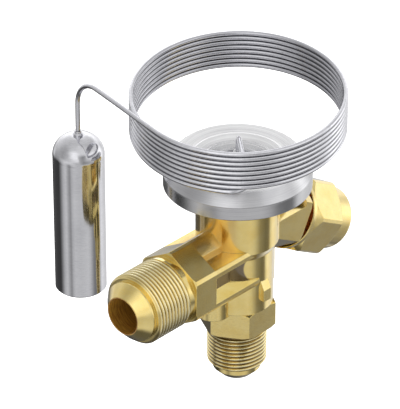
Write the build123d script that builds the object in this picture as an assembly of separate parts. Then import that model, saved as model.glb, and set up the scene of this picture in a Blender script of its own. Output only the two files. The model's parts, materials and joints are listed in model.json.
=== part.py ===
from build123d import *
import os
from math import atan2, cos, degrees, pi, radians, sin, sqrt, tan

# Thermostatic expansion valve for a small refrigeration plant. Millimetres, +Z up.
# The origin is the centre of the inlet's mouth, at the very bottom of the valve. The main axis runs
# straight up from it through the orifice, the spring chamber and the thermostatic head. The outlet
# points along -X. The setting spindle and its cap slope down towards +X.

os.makedirs("parts", exist_ok=True)

# ---------------------------------------------------------------- driving dimensions
# inlet: 3/8 in flare, 5/8-18 thread
INLET_THREAD_R = 15.875 / 2
INLET_MOUTH_R = 4.2
INLET_MOUTH_DEPTH = 8.0
INLET_BORE_R = 4.0
INLET_LIP_R = 6.45
INLET_THREAD_Z = (4.6, 13.9)
INLET_HEX_Z = (15.4, 22.7)
INLET_HEX_AF = 18.0

# outlet: 1/2 in flare, 3/4-16 thread, measured along -X from the main axis
OUTLET_THREAD_R = 19.05 / 2
OUTLET_BORE_R = 4.93
OUTLET_LIP_R = 8.1
OUTLET_Z = 36.9
OUTLET_MOUTH = 43.55
OUTLET_THREAD_S = (28.4, 39.0)
OUTLET_SHOULDER = 26.2
OUTLET_COLLAR_END = 18.6
OUTLET_HEX_AF = 19.05
HEX_CORNER = 0.6  # how much of each side the rolled flats on a hexagon's corners take
PORT_R = 3.2

# column of the body
LOWER_R = 9.5
NECK_R = 11.0
NECK_CONE_Z = (39.3, 41.7)
NECK_TOP_Z = 57.2
SPIGOT_R = 9.0

# inside the column, from the inlet upwards
HOUSING_SEAT_Z = 25.0
HOUSING_NOSE_R = 3.25
CHAMBER_R = 5.5
CHAMBER_Z = (31.0, 43.0)
PIN_R = 1.2
RUNNING = 0.05  # radial clearance of a sliding or turning fit
SPRING_CHAMBER_R = 7.2
SPRING_CHAMBER_Z = 46.2
PLATE_Z = 57.4

# orifice, needle and strainer
ORIFICE_R = 1.25
NEEDLE_STEM_R = 0.8
HOUSING_LOW = 16.5
HOUSING_SOCKET_R = 3.45

# setting spindle: its axis crosses the main axis here, and slopes down at this angle towards +X
SPINDLE_Z = 51.05
SPINDLE_TILT = 28.5
ARM_AF = 19.0
ARM_END = 19.0
STUB_END = 26.8
STUB_R = 7.0
GLAND_BORE_R = 5.5
GLAND_SEAT = 12.5
HEAD_CLEARANCE_Z = 46.95
HEAD_CLEARANCE_R = 19.0
PUSHER_R = 2.0
PUSHER_END = 14.7
TIP_S = 4.0  # how far the pusher's round tip stops from the main axis
TIP_R = 1.5
SPINDLE_STEM_R = 2.5
SPINDLE_THREAD_R = 3.5
SEAT_T = 1.2
SEAT_SKIRT = 2.2
SEAL_S = (25.0, 26.6)
SEAL_OUTER = 3.9
CAP_START = 20.6
CAP_COLLAR_R = 10.0
CAP_COLLAR_END = 22.2
CAP_HEX_AF = 19.4
CAP_HEX_END = 33.7
CAP_DOME_R = 8.6
CAP_END = 41.05

# thermostatic head
HEAD_R = 19.36
HEAD_TOP_R = 16.4
HEAD_RIM_Z = 60.9
HEAD_TOP_Z = 65.9
HEAD_WALL = 1.2
RECESS_R = 11.6
DIAPHRAGM_T = 0.2
FERRULE_R = 2.2
FERRULE_TOP = HEAD_TOP_Z + 0.9

# capillary tube and its coil
TUBE_R = 0.65
COIL_R = 27.42
COIL_PITCH = 1.325
COIL_MID_Z = 74.98
COIL_TILT_RISE = 3.08  # how far the tilted coil's high side stands above its middle
COIL_HIGH_SIDE = 38.2  # compass angle of that high side, from +X
COIL_START = 210.0
COIL_TURNS = 8.11
COIL_END = COIL_START - 360 * COIL_TURNS
RISER_PEAK_Z = 71.75
RISER_ENTRY = 9.0  # how far before the coil's start the riser turns into it
RISER_BENDS = [2.6, 4.5]
LEAD_RISE = 2.25  # how far the lead climbs from the coil before it turns down to the bulb
LEAD_BENDS = [7.6]

# sensing bulb
BULB_XY = (-21.85, 35.9)
BULB_R = 6.85
BULB_Z = (21.35, 61.05)
BULB_TOP = 67.0
BULB_FERRULE = 1.4

OUTLET_PLANE = Plane(origin=(0, 0, OUTLET_Z), x_dir=(0, -1, 0), z_dir=(-1, 0, 0))
SPINDLE_DIR = Vector(cos(radians(SPINDLE_TILT)), 0, -sin(radians(SPINDLE_TILT)))
SPINDLE_PLANE = Plane(origin=(0, 0, SPINDLE_Z), x_dir=(0, 1, 0), z_dir=SPINDLE_DIR)


# ---------------------------------------------------------------- helpers
def turned(points):
    """A solid of revolution about Z from its half section, as (radius, height) points."""
    return revolve(make_face(Plane.XZ * Polyline(*points, close=True)), Axis.Z)


def rod(radius, low, high):
    """A plain round bar on the Z axis."""
    return Pos(0, 0, low) * Cylinder(radius, high - low, align=(Align.CENTER, Align.CENTER, Align.MIN))


def tube(outer, inner, low, high):
    return rod(outer, low, high) - rod(inner, low - 1, high + 1)


def hexagon_bar(across_flats, low, high, turn, bevel=0.0, corner_flat=0.0):
    """A hexagonal bar with its end corners turned off at 30 degrees. A corner flat blunts its long edges."""
    corner = across_flats / sqrt(3)
    outline = RegularPolygon(corner, 6, major_radius=True, rotation=turn)
    if corner_flat:
        outline = chamfer(outline.vertices(), corner_flat)
    bar = Pos(0, 0, low) * extrude(outline, high - low)
    if bevel:
        drop = bevel * tan(radians(30))
        bar &= turned([(0, low), (corner - bevel, low), (corner, low + drop),
                       (corner, high - drop), (corner - bevel, high), (0, high)])
    return bar


def helix_spring(coil_r, low, high, turns, wire_width, wire_height):
    """A compression spring on the Z axis, coiled from flat wire."""
    rise = high - low - wire_height
    path = Pos(0, 0, low + wire_height / 2) * Helix(rise / turns, rise, coil_r)
    section = Plane(origin=path @ 0, x_dir=(1, 0, 0), z_dir=path % 0) * Rectangle(wire_width, wire_height)
    return sweep(section, path, is_frenet=True)


def save(name, solid, color):
    solid.label = name
    solid.color = Color(*color)
    export_step(solid, f"parts/{name}.step")
    print(f"{name}: {solid.volume:.1f} mm3")


BRASS = (0.85, 0.70, 0.36)
STEEL = (0.72, 0.73, 0.75)
DARK_STEEL = (0.45, 0.46, 0.48)
COPPER = (0.72, 0.38, 0.25)
RUBBER = (0.08, 0.08, 0.08)


# ---------------------------------------------------------------- valve body, one brass forging
def inlet_column():
    """The inlet's flare nose, thread and wrench hexagon, and the round column up to the head."""
    nose = 0.6
    low, high = INLET_THREAD_Z
    relief = 0.9
    profile = [
        (0, 0), (INLET_LIP_R - 2.1, 0), (INLET_LIP_R, 2.1), (INLET_LIP_R, low - nose),
        (INLET_THREAD_R - nose, low - nose), (INLET_THREAD_R, low), (INLET_THREAD_R, high),
        (INLET_THREAD_R - relief, high + relief), (INLET_THREAD_R - relief, INLET_HEX_Z[0]),
        (LOWER_R, INLET_HEX_Z[1]), (LOWER_R, NECK_CONE_Z[0]), (NECK_R, NECK_CONE_Z[1]),
        (NECK_R, NECK_TOP_Z), (SPIGOT_R, NECK_TOP_Z), (SPIGOT_R, NECK_TOP_Z + HEAD_WALL),
        (0, NECK_TOP_Z + HEAD_WALL),
    ]
    hexagon = hexagon_bar(INLET_HEX_AF, *INLET_HEX_Z, turn=0, bevel=0.8)
    above = turned([(0, INLET_HEX_Z[0]), (LOWER_R + 3, INLET_HEX_Z[0]), (LOWER_R + 3, INLET_HEX_Z[1]),
                    (0, INLET_HEX_Z[1])])
    return (turned(profile) - above) + hexagon


def ribbed_section(start, end):
    """Between the outlet's collar and the neck the hexagon is hollowed from both sides down to a stepped
    core, which leaves a rib along each of its corners. Drawn in the outlet plane: x to the side, y up."""
    corner = OUTLET_HEX_AF / sqrt(3)
    flat = OUTLET_HEX_AF / 2
    cut_x = HEX_CORNER * cos(radians(30))
    cut_y = HEX_CORNER * sin(radians(30))
    brow = 1.75
    shelf_top, shelf_x = 7.6, 3.75
    rib_top = corner / 2 + cut_y
    rib_under = 3.7
    web = 4.7
    half = [
        (0, corner - cut_y), (cut_x, corner - cut_y), (brow, corner - brow * tan(radians(30))),
        (shelf_x, shelf_top), (shelf_x + 0.2, rib_top), (flat - cut_x, rib_top),
        (flat, corner / 2 - HEX_CORNER), (flat, rib_under), (web, rib_under),
        (web, -rib_under), (flat, -rib_under), (flat, -corner / 2 + HEX_CORNER),
        (flat - cut_x, -corner / 2 - cut_y), (cut_x, cut_y - corner), (0, cut_y - corner),
    ]
    outline = half + [(-x, y) for x, y in reversed(half[1:-1])]
    return Pos(0, 0, start) * extrude(make_face(Polyline(*outline, close=True)), end - start)


def outlet_branch():
    """The outlet's flare nose, thread, wrench collar and ribbed root, built along its own axis."""
    low, high = OUTLET_THREAD_S
    nose = 0.7
    neck = 0.3
    cone = OUTLET_LIP_R - OUTLET_BORE_R - 0.3
    profile = [
        (0, OUTLET_COLLAR_END), (OUTLET_THREAD_R - 3 * neck, OUTLET_COLLAR_END),
        (OUTLET_THREAD_R - neck, OUTLET_SHOULDER), (OUTLET_THREAD_R - neck, low - neck),
        (OUTLET_THREAD_R, low), (OUTLET_THREAD_R, high), (OUTLET_THREAD_R - nose, high + nose),
        (OUTLET_LIP_R, high + nose),
        (OUTLET_LIP_R, OUTLET_MOUTH - cone), (OUTLET_BORE_R + 0.3, OUTLET_MOUTH), (0, OUTLET_MOUTH),
    ]
    collar = hexagon_bar(OUTLET_HEX_AF, 6.0, OUTLET_SHOULDER, turn=90, bevel=0.75, corner_flat=HEX_CORNER)
    beyond = Box(40, 40, 20, align=(Align.CENTER, Align.CENTER, Align.MIN))
    collar &= Pos(0, 0, OUTLET_COLLAR_END) * beyond
    return OUTLET_PLANE * (turned(profile) + collar + ribbed_section(2.0, OUTLET_COLLAR_END))


def spindle_arm():
    """The hexagonal arm that carries the setting spindle, with the threaded stub for the cap. Its top is
    cut back flat where the head overhangs it."""
    arm = hexagon_bar(ARM_AF, 0.0, ARM_END, turn=90)
    corner = ARM_AF / sqrt(3)
    arm &= turned([(0, 0), (corner, 0), (corner, ARM_END - 0.5), (corner - 0.8, ARM_END), (0, ARM_END)])
    relief = 0.35
    stub = turned([
        (0, 1), (STUB_R - relief, 1), (STUB_R - relief, ARM_END + 2.0), (STUB_R, ARM_END + 2.0 + relief),
        (STUB_R, STUB_END - 0.5), (STUB_R - 0.5, STUB_END), (0, STUB_END),
    ])
    arm = SPINDLE_PLANE * (arm + stub)
    arm &= Pos(0, 0, 20) * Box(120, 60, 60, align=(Align.MIN, Align.CENTER, Align.MIN))
    arm -= rod(NECK_R, NECK_TOP_Z - 1, NECK_TOP_Z + 20)
    return arm - tube(HEAD_CLEARANCE_R, NECK_R - 0.5, HEAD_CLEARANCE_Z, HEAD_CLEARANCE_Z + 30)


def outlet_boss():
    """The half-round boss that runs down the column's outlet side, from the branch to the wrench hexagon."""
    return Pos(-9.4, 0, 0) * rod(4.5, INLET_HEX_Z[1] - 0.5, OUTLET_Z - 5)


def arm_boss():
    """A half-round boss under the spindle arm, which stops short of the wrench hexagon. It is relieved
    where the cap's gasket sits."""
    boss = Pos(8.4, 0, 0) * rod(4.3, 25.4, SPINDLE_Z - 12)
    return boss - SPINDLE_PLANE * rod(9.4, ARM_END, STUB_END)


def side_lug(side):
    """A small lug with a steep front, where the branch's lowest rib dies into the column."""
    width, reach, low = 2.7, 10.6, 26.1
    front = Polyline(
        (0, low), (reach, low), (reach, low + 3.3), (9.2, low + 6.3), (0, low + 6.3), close=True
    )
    lug = extrude(make_face(Plane.YZ * front), width / 2, both=True)
    return lug if side > 0 else mirror(lug, Plane.XZ)


def valve_body():
    body = inlet_column() + outlet_branch() + spindle_arm() + outlet_boss() + arm_boss()
    body += side_lug(-1) + side_lug(1)
    # flow path, from the inlet's mouth to the valve chamber and out through the branch
    body -= rod(INLET_MOUTH_R, -1, INLET_MOUTH_DEPTH)
    body -= rod(INLET_BORE_R, INLET_MOUTH_DEPTH - 1, HOUSING_SEAT_Z)
    body -= rod(HOUSING_NOSE_R + RUNNING, HOUSING_SEAT_Z - 1, CHAMBER_Z[0] + 1)
    body -= rod(CHAMBER_R, *CHAMBER_Z)
    body -= OUTLET_PLANE * (rod(OUTLET_BORE_R, 20.0, OUTLET_MOUTH + 1) + rod(PORT_R, 3.0, 21.0))
    # push pin guide and the spring chamber, open at the top to the head
    body -= rod(PIN_R + RUNNING, CHAMBER_Z[1] - 1, SPRING_CHAMBER_Z + 1)
    body -= rod(SPRING_CHAMBER_R, SPRING_CHAMBER_Z, NECK_TOP_Z + 5)
    # setting spindle's bores
    body -= SPINDLE_PLANE * rod(GLAND_BORE_R, GLAND_SEAT, STUB_END + 1)
    body -= SPINDLE_PLANE * rod(PUSHER_R + RUNNING, 4.0, GLAND_SEAT + 1)
    return body


# ---------------------------------------------------------------- setting mechanism
def seat_underside():
    """The height at which the spring seat's flat underside rests on the pusher's round tip."""
    centre = TIP_S + TIP_R
    return SPINDLE_Z - centre * sin(radians(SPINDLE_TILT)) + TIP_R


def spring_seat():
    """A shallow cup. Its skirt slides in the spring chamber, and the main spring stands on its floor."""
    low = seat_underside() + 0.02
    outer = SPRING_CHAMBER_R - 0.07
    floor = low + SEAT_T
    brim = floor + SEAT_SKIRT
    return turned([(PIN_R + 0.4, low), (outer - 0.8, low), (outer, low + 0.8), (outer, brim),
                   (outer - 0.9, brim), (outer - 0.9, floor), (PIN_R + 0.4, floor)])


def setting_pusher():
    """The round-nosed push rod between the spindle and the spring seat."""
    nose = turned([(0, TIP_S + TIP_R), (TIP_R, TIP_S + TIP_R), (TIP_R, 8.2), (PUSHER_R, 8.2 + 0.5),
                   (PUSHER_R, PUSHER_END), (0, PUSHER_END)])
    return SPINDLE_PLANE * (nose + Pos(0, 0, TIP_S + TIP_R) * Sphere(TIP_R))


def setting_spindle():
    """The threaded spindle. Turning it by its square end drives the pusher in or lets it back."""
    start = PUSHER_END + 0.05
    stem = turned([(0, start), (SPINDLE_THREAD_R - 0.4, start), (SPINDLE_THREAD_R, start + 0.4),
                   (SPINDLE_THREAD_R, 20.8), (SPINDLE_STEM_R, 21.3), (SPINDLE_STEM_R, 29.5), (0, 29.5)])
    square = Pos(0, 0, 29.0) * extrude(Rectangle(3.4, 3.4), 5.2)
    square = chamfer(square.edges().group_by(Axis.Z)[-1], 0.4)
    return SPINDLE_PLANE * (stem + square)


def spindle_gland():
    """The gland nut. The spindle's thread runs in its inner end, and its outer end seals on the stem."""
    low, high = GLAND_SEAT, 28.3
    outer = GLAND_BORE_R - 0.03
    blank = turned([(0, low), (outer, low), (outer, high - 4.4), (0, high - 4.4)])
    hexagon = hexagon_bar(9.4, high - 4.5, high, turn=30, bevel=0.5)
    gland = blank + hexagon
    gland -= rod(SPINDLE_THREAD_R + RUNNING, low - 1, 24.0)
    gland -= rod(SPINDLE_STEM_R + RUNNING, 23.0, high + 1)
    gland -= tube(SEAL_OUTER, 0.5, *SEAL_S)
    return SPINDLE_PLANE * gland


def spindle_seal():
    """The square-section seal ring in the gland's groove, round the stem."""
    low, high = SEAL_S
    return SPINDLE_PLANE * tube(SEAL_OUTER - 0.02, SPINDLE_STEM_R + RUNNING, low + 0.02, high - 0.02)


def cap_gasket():
    """The thick soft copper ring between the arm's face and the cap."""
    return SPINDLE_PLANE * tube(8.5, STUB_R + 0.15, ARM_END + 0.02, CAP_START - 0.02)


def spindle_cap():
    """The brass seal cap: a round collar, a bevel up to a wrench hexagon, and a round closed end."""
    corner = CAP_HEX_AF / sqrt(3)
    edge, wall = 0.2, 1.4
    hexagon = hexagon_bar(CAP_HEX_AF, CAP_COLLAR_END - 0.5, CAP_HEX_END, turn=52, corner_flat=HEX_CORNER)
    hexagon &= turned([
        (0, CAP_COLLAR_END - 0.5), (9.3, CAP_COLLAR_END - 0.5), (corner, CAP_COLLAR_END + 2.2),
        (corner, CAP_HEX_END - 1.0), (corner - 1.5, CAP_HEX_END), (0, CAP_HEX_END),
    ])
    collar = turned([
        (0, CAP_START), (CAP_COLLAR_R - edge, CAP_START), (CAP_COLLAR_R, CAP_START + edge),
        (CAP_COLLAR_R, CAP_COLLAR_END - edge), (CAP_COLLAR_R - edge, CAP_COLLAR_END), (0, CAP_COLLAR_END),
    ])
    dome = fillet(rod(CAP_DOME_R, CAP_HEX_END - 1, CAP_END).edges().group_by(Axis.Z)[-1], 1.3)
    cap = hexagon + collar + dome
    cap -= rod(STUB_R + RUNNING, CAP_START - 1, 28.6)
    cap -= rod(4.9, 28.0, CAP_END - wall)
    return SPINDLE_PLANE * cap


# ---------------------------------------------------------------- orifice, needle and strainer
def orifice_housing():
    """The brass sleeve with the valve seat. It slides in from the inlet up to the body's shoulder."""
    outer = INLET_BORE_R - 0.03
    groove = (20.4, 21.9)
    return turned([
        (HOUSING_SOCKET_R, HOUSING_LOW), (outer, HOUSING_LOW), (outer, groove[0]), (outer - 0.9, groove[0]),
        (outer - 0.9, groove[1]), (outer, groove[1]), (outer, HOUSING_SEAT_Z),
        (HOUSING_NOSE_R, HOUSING_SEAT_Z), (HOUSING_NOSE_R, CHAMBER_Z[0] - 0.4),
        (HOUSING_NOSE_R - 0.4, CHAMBER_Z[0]), (ORIFICE_R, CHAMBER_Z[0]), (ORIFICE_R, 27.2),
        (2.4, 26.05), (2.4, 18.6), (HOUSING_SOCKET_R, 18.6),
    ])


def orifice_seal():
    """The square-section seal ring in the housing's groove."""
    return tube(INLET_BORE_R - 0.02, INLET_BORE_R - 0.91, 20.42, 21.88)


def orifice_needle():
    """The needle: a guide body with three flats for the flow, a cone that shuts the orifice from below,
    and a thin stem up to the push pin."""
    needle = turned([
        (0, 21.4), (2.0, 21.4), (2.35, 21.75), (2.35, 25.0), (1.9, 25.45), (ORIFICE_R + 0.4, 25.9),
        (NEEDLE_STEM_R, 26.9), (NEEDLE_STEM_R, 31.6), (0, 31.6),
    ])
    cut = Pos(3.35, 0, 20) * Box(2.5, 6, 5.4, align=(Align.CENTER, Align.CENTER, Align.MIN))
    for k in range(3):
        needle -= Rot(0, 0, 120 * k) * cut
    return needle


def needle_spring():
    return helix_spring(1.7, 18.6, 21.38, 3, 0.36, 0.3)


def strainer_frame():
    """The strainer's brass cage: a collar that snaps into the housing, posts and a closed foot."""
    cage = turned([
        (2.0, 18.55), (3.4, 18.55), (3.4, 16.4), (3.85, 16.4), (3.85, 15.6), (3.3, 15.6), (3.3, 8.9),
        (0, 8.9), (0, 9.7), (2.75, 9.7), (2.75, 18.0), (2.0, 18.0),
    ])
    window = Pos(0, 0, 10.6) * Box(8, 1.9, 4.4, align=(Align.CENTER, Align.CENTER, Align.MIN))
    for k in range(3):
        cage -= Rot(0, 0, 60 * k) * window
    return cage


def strainer_gauze():
    """The woven gauze, rolled to a sleeve inside the cage."""
    return tube(2.72, 2.55, 9.75, 17.9)


# ---------------------------------------------------------------- push pin, main spring and thrust plate
def push_pin():
    return rod(PIN_R, 31.65, 58.6)


def thrust_plate():
    """The disc under the diaphragm. Its hub sits in the spring chamber on top of the main spring."""
    hub, disc = 5.6, 11.6
    return turned([
        (PIN_R + 0.01, PLATE_Z), (hub, PLATE_Z), (hub, 59.3), (disc - 0.4, 59.3), (disc, 59.7),
        (disc, 60.3), (disc - 0.5, 60.75), (0, 60.75), (0, 58.62), (PIN_R + 0.01, 58.62),
    ])


def main_spring():
    low = seat_underside() + 0.02 + SEAT_T
    return helix_spring(4.4, low + 0.02, PLATE_Z - 0.02, 3.5, 1.1, 0.95)


# ---------------------------------------------------------------- thermostatic head
def head_lower_shell():
    """The lower steel cup, brazed round the body's spigot."""
    rim = 60.75
    floor = NECK_TOP_Z + HEAD_WALL
    return turned([
        (SPIGOT_R + 0.02, NECK_TOP_Z), (HEAD_R - 0.3, NECK_TOP_Z), (HEAD_R, NECK_TOP_Z + 0.3),
        (HEAD_R, HEAD_RIM_Z), (18.55, HEAD_RIM_Z), (18.55, rim), (17.0, rim), (16.4, rim - 0.6),
        (16.4, floor + 0.6), (15.8, floor), (SPIGOT_R + 0.02, floor),
    ])


def diaphragm():
    """The thin corrugated diaphragm, clamped between the two shells at its rim."""
    mid = 60.96
    wave, inner, outer, steps = 0.28, 12.2, 16.6, 4
    half = DIAPHRAGM_T / 2
    upper, lower = [], []
    for k in range(steps + 1):
        radius = inner + (outer - inner) * k / steps
        height = mid + wave * (k % 2)
        upper.append((radius, height + half))
        lower.append((radius, height - half))
    rim = 18.4
    return turned([
        (0, mid - half), *lower, (rim, mid - half),
        (rim, mid + half), *reversed(upper), (0, mid + half),
    ])


def head_upper_shell():
    """The upper steel cup: a steep cone, a flat shoulder and a recessed middle pressed in three rings."""
    top = HEAD_TOP_Z
    outer = [
        (HEAD_R, HEAD_RIM_Z), (HEAD_R, HEAD_RIM_Z + 0.25), (HEAD_TOP_R + 0.35, top - 0.5),
        (HEAD_TOP_R - 0.3, top), (RECESS_R + 0.6, top - 0.45), (RECESS_R, top - 0.3),
        (RECESS_R - 0.5, top - 0.5),
        (9.4, top - 1.25), (8.9, top - 1.1), (8.3, top - 1.3), (6.6, top - 1.75), (6.1, top - 1.6),
        (5.5, top - 1.8), (FERRULE_R + 0.02, top - 2.1),
    ]
    inner = [
        (FERRULE_R + 0.02, top - 3.2), (RECESS_R - 1.2, top - 2.0), (HEAD_TOP_R - 1.6, top - 1.5),
        (16.9, 61.75), (17.1, 61.08), (18.55, 61.08), (18.55, HEAD_RIM_Z),
    ]
    return turned(outer + inner)


def capillary_ferrule():
    """The small collar that seals the capillary tube into the head."""
    low = HEAD_TOP_Z - 3.1
    return turned([
        (TUBE_R + 0.01, low), (FERRULE_R, low), (FERRULE_R, HEAD_TOP_Z - 0.9), (1.5, HEAD_TOP_Z - 0.3),
        (1.25, FERRULE_TOP), (TUBE_R + 0.01, FERRULE_TOP),
    ])


# ---------------------------------------------------------------- capillary tube, coil and bulb
def climb(turns):
    """How far the tube has climbed above the coil's middle plane, so many turns from its start. It passes
    the low side for the first time at the middle plane's own height."""
    low_side = COIL_HIGH_SIDE + 180
    return COIL_PITCH * (turns - 1 + (low_side - COIL_START) / 360)


def coil_point(angle, turns):
    """A point of the tube's centre line, at a compass angle in degrees and so many turns from the start."""
    height = COIL_MID_Z + climb(turns) + COIL_TILT_RISE * cos(radians(angle - COIL_HIGH_SIDE))
    return Vector(COIL_R * cos(radians(angle)), COIL_R * sin(radians(angle)), height)


def route_tube(name, points, radii):
    """A round tube of straight runs joined by tangent arcs, its volume checked against its length."""
    path = FilletPolyline(*points, radius=radii) if len(points) > 2 else Line(*points)
    section = Plane(origin=path @ 0, z_dir=path % 0) * Circle(TUBE_R)
    solid = sweep(section, path)
    expected = pi * TUBE_R**2 * path.length
    ratio = solid.volume / expected
    print(f"{name}: length {path.length:.1f} mm, radii {radii}, volume ratio {ratio:.4f}")
    return solid, path.length


def riser_points():
    """Up from the head, over to the front and round into the coil's first turn."""
    start = coil_point(COIL_START, 0)
    along = Vector(sin(radians(COIL_START)), -cos(radians(COIL_START)), 0)
    corner = start - along * RISER_ENTRY
    return [Vector(0, 0, FERRULE_TOP), Vector(0, 0, RISER_PEAK_Z), corner, start]


def lead_points():
    """Off the coil's last turn on a tangent, then down to the bulb."""
    start = coil_point(COIL_END, COIL_TURNS)
    corner = Vector(*BULB_XY, start.Z + LEAD_RISE)
    return [start, corner, Vector(*BULB_XY, BULB_TOP + BULB_FERRULE)]


def capillary_coil():
    """The closed outer shape of the coil: a tilted ring as wide as the tube and as tall as its turns."""
    tilt = degrees(atan2(COIL_TILT_RISE, COIL_R))
    low = climb(0.5) - TUBE_R
    high = climb(COIL_TURNS - 0.5) + TUBE_R
    rim = 0.4
    ring = turned([
        (COIL_R - TUBE_R, low + rim), (COIL_R - TUBE_R + rim, low), (COIL_R + TUBE_R - rim, low),
        (COIL_R + TUBE_R, low + rim), (COIL_R + TUBE_R, high - rim), (COIL_R + TUBE_R - rim, high),
        (COIL_R - TUBE_R + rim, high), (COIL_R - TUBE_R, high - rim),
    ])
    return Pos(0, 0, COIL_MID_Z) * Rot(0, 0, COIL_HIGH_SIDE) * Rot(0, -tilt, 0) * ring


def sensing_bulb():
    """The sealed steel bulb with a domed top and a flat foot."""
    low, high = BULB_Z
    tip = 1.8
    dome = BULB_TOP - high
    edge = 0.5
    half_way = (tip + (BULB_R - tip) * cos(radians(45)), high + dome * sin(radians(45)))
    sides = Polyline((tip, BULB_TOP), (0, BULB_TOP), (0, low), (BULB_R - edge, low), (BULB_R, low + edge),
                     (BULB_R, high))
    shoulder = ThreePointArc((BULB_R, high), half_way, (tip, BULB_TOP))
    return Pos(*BULB_XY, 0) * revolve(make_face(Plane.XZ * (sides + shoulder)), Axis.Z)


def bulb_ferrule():
    """The crimped collar where the tube enters the bulb."""
    collar = turned([(0, 0), (1.3, 0), (1.3, 0.5), (0.95, 0.8), (0.95, BULB_FERRULE), (0, BULB_FERRULE)])
    return Pos(*BULB_XY, BULB_TOP) * collar


# ---------------------------------------------------------------- build and write every piece
save("valve_body", valve_body(), BRASS)
save("orifice_housing", orifice_housing(), BRASS)
save("orifice_seal", orifice_seal(), RUBBER)
save("orifice_needle", orifice_needle(), STEEL)
save("needle_spring", needle_spring(), DARK_STEEL)
save("strainer_frame", strainer_frame(), BRASS)
save("strainer_gauze", strainer_gauze(), STEEL)
save("push_pin", push_pin(), STEEL)
save("thrust_plate", thrust_plate(), STEEL)
save("main_spring", main_spring(), DARK_STEEL)
save("spring_seat", spring_seat(), BRASS)
save("setting_pusher", setting_pusher(), STEEL)
save("setting_spindle", setting_spindle(), STEEL)
save("spindle_gland", spindle_gland(), BRASS)
save("spindle_seal", spindle_seal(), RUBBER)
save("cap_gasket", cap_gasket(), COPPER)
save("spindle_cap", spindle_cap(), BRASS)
save("head_lower_shell", head_lower_shell(), STEEL)
save("diaphragm", diaphragm(), STEEL)
save("head_upper_shell", head_upper_shell(), STEEL)
save("capillary_ferrule", capillary_ferrule(), STEEL)
riser, riser_length = route_tube("capillary_riser", riser_points(), RISER_BENDS)
lead, lead_length = route_tube("capillary_lead", lead_points(), LEAD_BENDS)
save("capillary_riser", riser, STEEL)
save("capillary_coil", capillary_coil(), STEEL)
save("capillary_lead", lead, STEEL)
save("bulb_ferrule", bulb_ferrule(), STEEL)
save("sensing_bulb", sensing_bulb(), STEEL)
coil_length = COIL_TURNS * 2 * pi * COIL_R
print(f"capillary: {riser_length + coil_length + lead_length:.0f} mm in all, {COIL_TURNS} turns")
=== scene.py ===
# %% [markdown]
# # A thermostatic expansion valve
#
# This notebook dresses the CAD model of a small brass refrigeration valve. The solids come from the packed
# frame, and every size below fits them. What is added here is what CAD leaves out: cut threads, the saddle over
# the spindle's bore, one smooth length of capillary tube, the marks of the tools that made each surface, and the
# light of a small studio.

# %% Load the frame
import json
from math import cos, pi, radians, sin, tan

import bpy
from mathutils import Matrix, Vector

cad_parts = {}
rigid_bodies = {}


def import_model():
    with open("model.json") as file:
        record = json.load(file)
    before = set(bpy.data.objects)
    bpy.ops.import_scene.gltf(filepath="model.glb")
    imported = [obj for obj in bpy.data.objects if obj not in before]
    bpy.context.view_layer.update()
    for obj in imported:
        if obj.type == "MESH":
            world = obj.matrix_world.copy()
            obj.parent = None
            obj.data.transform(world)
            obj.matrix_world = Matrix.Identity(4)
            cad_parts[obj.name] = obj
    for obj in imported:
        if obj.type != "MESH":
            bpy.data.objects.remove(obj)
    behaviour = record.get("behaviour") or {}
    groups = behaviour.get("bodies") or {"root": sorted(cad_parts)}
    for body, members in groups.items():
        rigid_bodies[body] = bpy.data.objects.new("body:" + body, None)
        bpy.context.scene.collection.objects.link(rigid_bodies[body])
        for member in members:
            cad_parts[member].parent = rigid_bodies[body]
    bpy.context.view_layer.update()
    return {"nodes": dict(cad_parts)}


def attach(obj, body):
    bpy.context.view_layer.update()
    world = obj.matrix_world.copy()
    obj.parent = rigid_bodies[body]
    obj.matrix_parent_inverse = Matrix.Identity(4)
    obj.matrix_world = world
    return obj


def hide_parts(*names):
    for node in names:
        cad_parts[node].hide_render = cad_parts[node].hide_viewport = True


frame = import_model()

MM = 0.001
NODES = frame["nodes"]

# %% [markdown]
# ## The camera
#
# A catalogue shows a fitting from far away, through a long lens, so that round ends stay round. The camera stands
# in front of the outlet and looks down at it. It could be placed by hand, but working its place out from two
# angles keeps it aimed at the middle of the part.

# %% Camera
VIEW_AZIMUTH = radians(-47.69)
VIEW_ELEVATION = radians(30.38)
VIEW_DISTANCE = 0.9
VIEW_AIM = Vector((-0.006563, 0.007211, 0.05086))
LENS = 305.9


def towards_camera(azimuth, elevation):
    """The unit vector from the part to a camera at that azimuth and elevation."""
    return Vector((sin(azimuth) * cos(elevation), -cos(azimuth) * cos(elevation), sin(elevation)))


def nothing_selected():
    """Deselects everything, as an operator acts on all that is selected."""
    bpy.ops.object.select_all(action="DESELECT")


camera_back = towards_camera(VIEW_AZIMUTH, VIEW_ELEVATION)
camera_turn = camera_back.to_track_quat("Z", "Y").to_euler()
nothing_selected()
bpy.ops.object.camera_add(location=VIEW_AIM + camera_back * VIEW_DISTANCE, rotation=camera_turn)
camera = bpy.context.object
camera.data.lens = LENS
camera.data.clip_start = 0.05
camera.data.clip_end = 20.0
bpy.context.scene.camera = camera
print("camera at", [round(c, 3) for c in camera.location])

# %% [markdown]
# ## The capillary tube
#
# One stiff steel tube leaves the head, winds eight tight turns and ends in the sensing bulb. It could be drawn
# turn by turn as a stack of rings, but a real coil is one length of tube that climbs as it goes round. So it is
# one spline: the riser's corners, then points along a tilted helix, then the corner above the bulb. The same
# route shapes the solids, in millimetres.

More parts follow.
